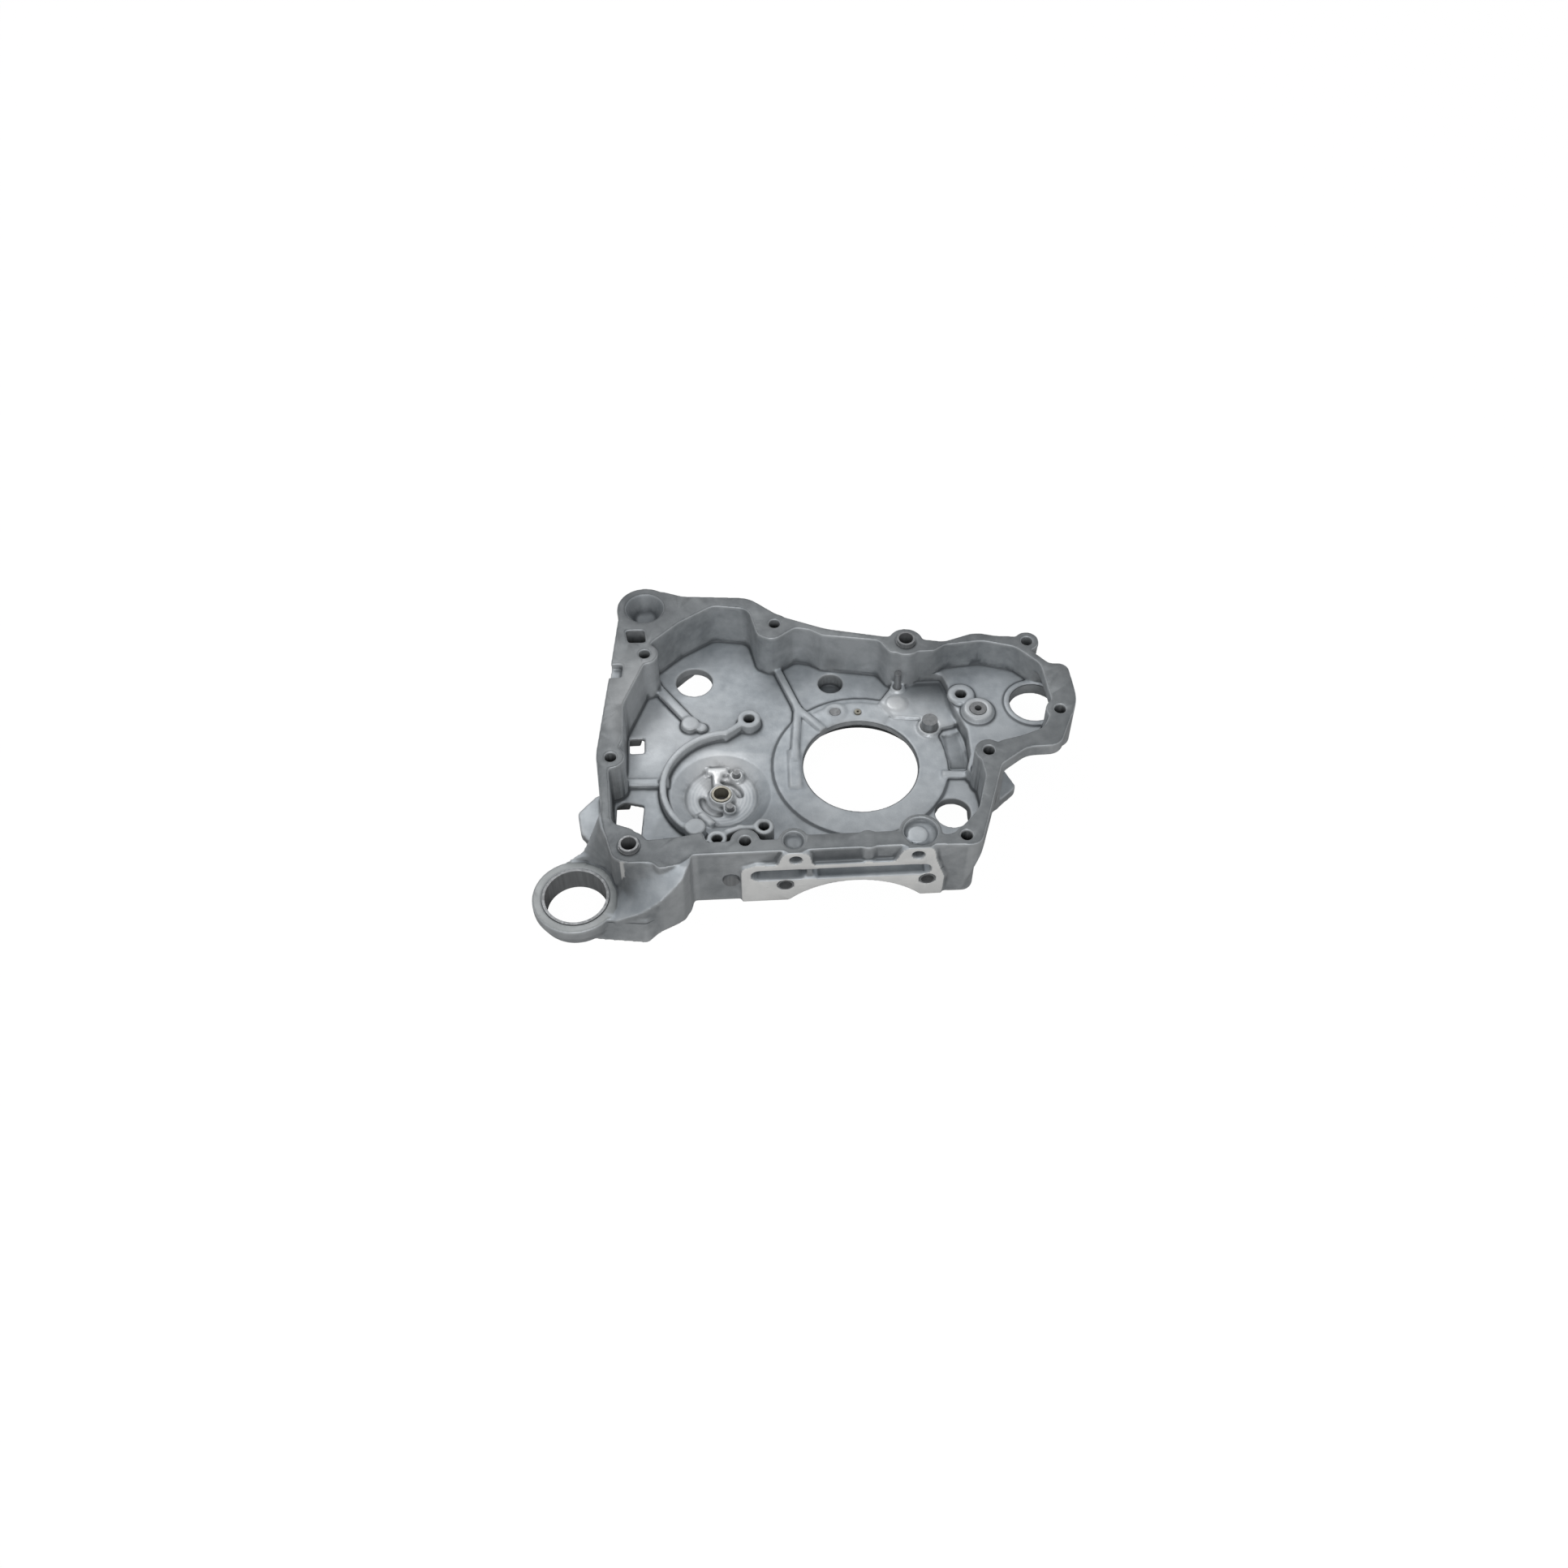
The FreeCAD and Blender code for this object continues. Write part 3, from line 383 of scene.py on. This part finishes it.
class Nodes:
    """Short calls for building a material's node tree."""

    def __init__(self, name):
        self.material = bpy.data.materials.new(name)
        self.material.use_nodes = True
        self.tree = self.material.node_tree
        self.shader = self.tree.nodes["Principled BSDF"]
        coordinates = self.tree.nodes.new("ShaderNodeTexCoord")
        self.place = coordinates.outputs["Object"]
        self.normal = coordinates.outputs["Normal"]

    def link(self, source, target):
        """Joins an output to an input."""
        self.tree.links.new(source, target)

    def feed(self, socket, value):
        """Gives an input a number, a colour or another node's output."""
        if isinstance(value, (int, float)):
            socket.default_value = value
        elif isinstance(value, tuple):
            socket.default_value = value + (1.0,)
        else:
            self.link(value, socket)

    def set(self, name, value):
        """Feeds one of the shader's own inputs."""
        self.feed(self.shader.inputs[name], value)

    def noise(self, scale, detail, stretch=None, roughness=NOISE_ROUGHNESS):
        """Clouds or grain over the object, which may be stretched along an axis."""
        node = self.tree.nodes.new("ShaderNodeTexNoise")
        node.inputs["Scale"].default_value = scale
        node.inputs["Detail"].default_value = detail
        node.inputs["Roughness"].default_value = roughness
        place = self.place
        if stretch:
            mapping = self.tree.nodes.new("ShaderNodeMapping")
            mapping.inputs["Scale"].default_value = stretch
            self.link(place, mapping.inputs["Vector"])
            place = mapping.outputs["Vector"]
        self.link(place, node.inputs["Vector"])
        return node.outputs["Fac"]

    def rings(self, centre, spacing):
        """Turning marks about an upright axis, with a spacing in metres."""
        mapping = self.tree.nodes.new("ShaderNodeMapping")
        mapping.inputs["Location"].default_value = (-centre[0] * MM, -centre[1] * MM, 0)
        self.link(self.place, mapping.inputs["Vector"])
        node = self.tree.nodes.new("ShaderNodeTexWave")
        node.wave_type = "RINGS"
        node.rings_direction = "Z"
        node.inputs["Scale"].default_value = WAVE_WIDTH / spacing
        node.inputs["Distortion"].default_value = TURNING_WOBBLE
        self.link(mapping.outputs["Vector"], node.inputs["Vector"])
        return node.outputs["Fac"]

    def part_of(self, vector, axis):
        """One coordinate of a vector."""
        node = self.tree.nodes.new("ShaderNodeSeparateXYZ")
        self.link(vector, node.inputs[0])
        return node.outputs[axis]

    def level_band(self, level, half, upright):
        """1 where the surface is within half of a level, in mm, and its normal's Z reaches a value."""
        height = self.part_of(self.place, "Z")
        away = self.math("ABSOLUTE", self.math("SUBTRACT", height, level * MM), 0)
        band = self.fit(away, BAND_CORE * half * MM, half * MM, 1, 0)
        facing = self.fit(self.part_of(self.normal, "Z"), upright, upright + UPRIGHT_SPAN, 0, 1)
        return self.math("MULTIPLY", band, facing)

    def foot_line(self, level, from_x):
        """1 along the foot of whatever stands on a floor at that level, right of from_x, in mm."""
        inside = self.math("GREATER_THAN", self.part_of(self.place, "X"), from_x * MM)
        band = self.level_band(level + FOOT_HALF, FOOT_HALF, FOOT_UPRIGHT)
        return self.math("MULTIPLY", band, inside)

    def attribute(self, name):
        """A value that paint_zones wrote."""
        node = self.tree.nodes.new("ShaderNodeAttribute")
        node.attribute_name = name
        return node.outputs["Fac"]

    def fit(self, value, low, high, to_low, to_high):
        """A value carried from one range to another, and held at its ends."""
        node = self.tree.nodes.new("ShaderNodeMapRange")
        node.inputs["From Min"].default_value = low
        node.inputs["From Max"].default_value = high
        node.inputs["To Min"].default_value = to_low
        node.inputs["To Max"].default_value = to_high
        self.link(value, node.inputs["Value"])
        return node.outputs["Result"]

    def math(self, operation, a, b):
        """The result of an operation on two values, which are outputs or numbers."""
        node = self.tree.nodes.new("ShaderNodeMath")
        node.operation = operation
        for socket, value in zip(node.inputs, (a, b)):
            self.feed(socket, value)
        return node.outputs[0]

    def mix(self, share, a, b):
        """Colour a turning into colour b as the share goes from 0 to 1."""
        node = self.tree.nodes.new("ShaderNodeMix")
        node.data_type = "RGBA"
        self.link(share, typed_socket(node.inputs, "Factor", "VALUE"))
        self.feed(typed_socket(node.inputs, "A", "RGBA"), a)
        self.feed(typed_socket(node.inputs, "B", "RGBA"), b)
        return typed_socket(node.outputs, "Result", "RGBA")

    def cover(self, colour, mask, most, over):
        """A colour under another, which covers it by no more than a share where the mask is 1."""
        return self.mix(self.fit(mask, 0, 1, 0, most), colour, over)

    def bump(self, height, strength, distance):
        """Relief from a value, up to a height in metres."""
        node = self.tree.nodes.new("ShaderNodeBump")
        node.inputs["Strength"].default_value = strength
        node.inputs["Distance"].default_value = distance
        self.link(height, node.inputs["Height"])
        self.link(node.outputs["Normal"], self.shader.inputs["Normal"])


def cast_aluminium():
    """Cast skin and milled faces with turning marks, painted shade on upright sides, dark spots, hollows,
    feet and crevices, a painted dark reflection on the rim, and painted highlights on spots and edges.
    """
    made = Nodes("cast_aluminium")
    broad = made.math("MULTIPLY", made.noise(*BROAD_CLOUDS), BROAD_SHARE)
    small = made.math("MULTIPLY", made.noise(*SMALL_CLOUDS), 1 - BROAD_SHARE)
    clouds = made.fit(made.math("ADD", broad, small), *CLOUD_LIMITS, 0, 1)
    base = made.attribute("base")
    rim = made.level_band(RIM_HEIGHT, *RIM_BAND)
    # Painted shade: upright faces turn toward the darker side colours
    colour = made.mix(made.attribute("wall"), made.mix(clouds, *SKIN), made.mix(clouds, *SHADED_SIDES))
    # Painted reflection: the milled rim turns darker
    colour = made.mix(rim, colour, made.mix(clouds, *RIM_PAINTED_REFLECTION))
    colour = made.mix(base, colour, made.mix(clouds, *MILLED_BASE))
    colour = made.mix(made.attribute("ring"), colour, MILLED_RING)
    turned = made.math("MULTIPLY", made.attribute("turned"), made.rings(PUMP_CENTRE, TURNING_PITCH))
    colour = made.cover(colour, turned, *TURNING)
    # Painted highlight on the listed spots
    colour = made.cover(colour, made.attribute("painted_highlight"), *PAINTED_HIGHLIGHT)
    # Painted highlight along convex edges, weaker on the rim
    colour = made.cover(colour, made.attribute("edge_highlight"), *PAINTED_EDGE_HIGHLIGHT)
    # Painted shade on the dark spots and in the oil holes
    colour = made.cover(colour, made.attribute("painted_dark_spots"), *PAINTED_DARK_SPOT)
    flat = rim
    for level in (FLOOR_TOP, LAND_TOP, DECK_TOP):
        flat = made.math("MAXIMUM", flat, made.level_band(level, *FLAT_BAND))
    # Flat levels keep less of the painted shade
    shade_left = made.fit(flat, 0, 1, 1, FLAT_SHADE_LEFT)
    # Painted shade in concave hollows
    hollow = made.math("MULTIPLY", made.attribute("hollow"), shade_left)
    colour = made.cover(colour, hollow, *PAINTED_HOLLOW_SHADE)
    # Painted shade along the foot of walls on floor and deck
    feet = made.math("MAXIMUM", made.foot_line(FLOOR_TOP, FLOOR_FROM), made.foot_line(DECK_TOP, DECK_FROM))
    colour = made.cover(colour, feet, *PAINTED_FOOT_SHADE)
    # Painted shade in covered places, from the rays of covered_share
    shade = made.math("POWER", made.attribute("shade"), CREVICE_POWER)
    colour = made.cover(colour, made.math("MULTIPLY", shade, shade_left), *PAINTED_CREVICE_SHADE)
    made.set("Base Color", colour)
    made.set("Metallic", made.fit(base, 0, 1, CAST_METALLIC, 0))
    rough = made.fit(made.noise(*ROUGH_PATCHES), *NOISE_LIMITS, *ROUGHNESS)
    polish = made.math("MULTIPLY", made.attribute("painted_highlight"), HIGHLIGHT_POLISH)
    made.set("Roughness", made.math("SUBTRACT", rough, polish))
    made.bump(made.noise(*GRAIN, roughness=GRAIN_ROUGHNESS), GRAIN_STRENGTH, GRAIN_DEPTH)
    return made.material


def steel(name, colour, roughness):
    """A drawn or turned metal with fine streaks."""
    made = Nodes(name)
    streaks = made.noise(*STREAKS, stretch=STREAK_STRETCH)
    darker = tuple(value * STREAK_SHADE for value in colour)
    made.set("Base Color", made.mix(made.fit(streaks, *NOISE_LIMITS, 0, 1), colour, darker))
    made.set("Metallic", STEEL_METALLIC)
    made.set("Roughness", made.fit(streaks, *NOISE_LIMITS, roughness - SMOOTHER, roughness + ROUGHER))
    made.bump(streaks, STREAK_STRENGTH, STREAK_DEPTH)
    return made.material


# Casting
solid = baked_copy(nodes["crankcase_casting"], "casting_solid", [])
add_block(solid.data, STUD_WALL_LOW, STUD_WALL_HIGH)
casting = baked_copy(solid, "casting_skin", [
    ("REMESH", {"mode": "VOXEL", "voxel_size": VOXEL * MM, "adaptivity": 0.0, "use_smooth_shade": True}),
])
bpy.data.objects.remove(solid)
soften(casting.data, SOFT_ROUNDS, SOFT_SHARE)
triangles = len(casting.data.polygons) * 2
if triangles > FACE_LIMIT:
    lighter = baked_copy(casting, "casting_lighter", [("DECIMATE", {"ratio": FACE_LIMIT / triangles})])
    bpy.data.objects.remove(casting)
    casting = lighter
    casting.name = "casting_skin"
casting.data.shade_smooth()
paint_zones(casting)
casting.data.materials.clear()
casting.data.materials.append(cast_aluminium())
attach(casting, "root")
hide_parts("crankcase_casting")

# Steel, iron, bronze and plugs
finishes = {slot: steel(slot, *look) for slot, look in FINISHES.items()}
for part in frame["record"]["subparts"]:
    if part["material_slot"] in finishes:
        materials = nodes[part["node"]].data.materials
        materials.clear()
        materials.append(finishes[part["material_slot"]])

# Floor
bpy.ops.mesh.primitive_plane_add(size=FLOOR_SIZE, location=(0, 0, FLOOR_Z))
floor = bpy.context.object
floor.name = "floor"
paper = bpy.data.materials.new("paper")
paper.use_nodes = True
tree = paper.node_tree
tree.nodes.remove(tree.nodes["Principled BSDF"])
diffuse = tree.nodes.new("ShaderNodeBsdfDiffuse")
diffuse.inputs["Color"].default_value = FLOOR_GREY
glow = tree.nodes.new("ShaderNodeEmission")
glow.inputs["Strength"].default_value = FLOOR_GLOW
path = tree.nodes.new("ShaderNodeLightPath")
seen = tree.nodes.new("ShaderNodeMath")
seen.operation = "MULTIPLY"
seen.inputs[1].default_value = FLOOR_GLOW_SHARE
blend = tree.nodes.new("ShaderNodeMixShader")
tree.links.new(path.outputs["Is Camera Ray"], seen.inputs[0])
tree.links.new(seen.outputs[0], blend.inputs[0])
tree.links.new(diffuse.outputs[0], blend.inputs[1])
tree.links.new(glow.outputs[0], blend.inputs[2])
tree.links.new(blend.outputs[0], tree.nodes["Material Output"].inputs["Surface"])
floor.data.materials.append(paper)

# Surroundings and lights
world = bpy.data.worlds.new("studio")
scene.world = world
world.use_nodes = True
sky = world.node_tree
background = sky.nodes["Background"]
background.inputs["Color"].default_value = (1, 1, 1, 1)
sky_path = sky.nodes.new("ShaderNodeLightPath")
sky_fit = sky.nodes.new("ShaderNodeMapRange")
sky_fit.inputs["To Min"].default_value = SKY_STRENGTH
sky_fit.inputs["To Max"].default_value = SKY_STRENGTH_SEEN
sky.links.new(sky_path.outputs["Is Camera Ray"], sky_fit.inputs["Value"])
sky.links.new(sky_fit.outputs["Result"], background.inputs["Strength"])
for name, place, power in LIGHTS:
    lamp = bpy.data.lights.new(name, "AREA")
    lamp.energy = power
    lamp.size = LIGHT_SIZE
    holder = bpy.data.objects.new(name, lamp)
    scene.collection.objects.link(holder)
    holder.location = place
    holder.rotation_euler = (Vector(LIGHT_TARGET) - Vector(place)).to_track_quat("-Z", "Y").to_euler()

# Camera
camera = bpy.data.cameras.new("camera")
camera.sensor_fit = "HORIZONTAL"
camera.sensor_width = SENSOR_WIDTH
camera.lens = SENSOR_WIDTH * FOCAL_PIXELS / PICTURE_PIXELS
camera.clip_start = CLIP_START
eye = bpy.data.objects.new("camera", camera)
scene.collection.objects.link(eye)
eye.location = CAMERA_PLACE
looking = Vector((math.sin(TURN) * math.cos(TILT), math.cos(TURN) * math.cos(TILT), -math.sin(TILT)))
eye.rotation_euler = looking.to_track_quat("-Z", "Y").to_euler()
scene.camera = eye
scene.view_settings.view_transform = "Standard"
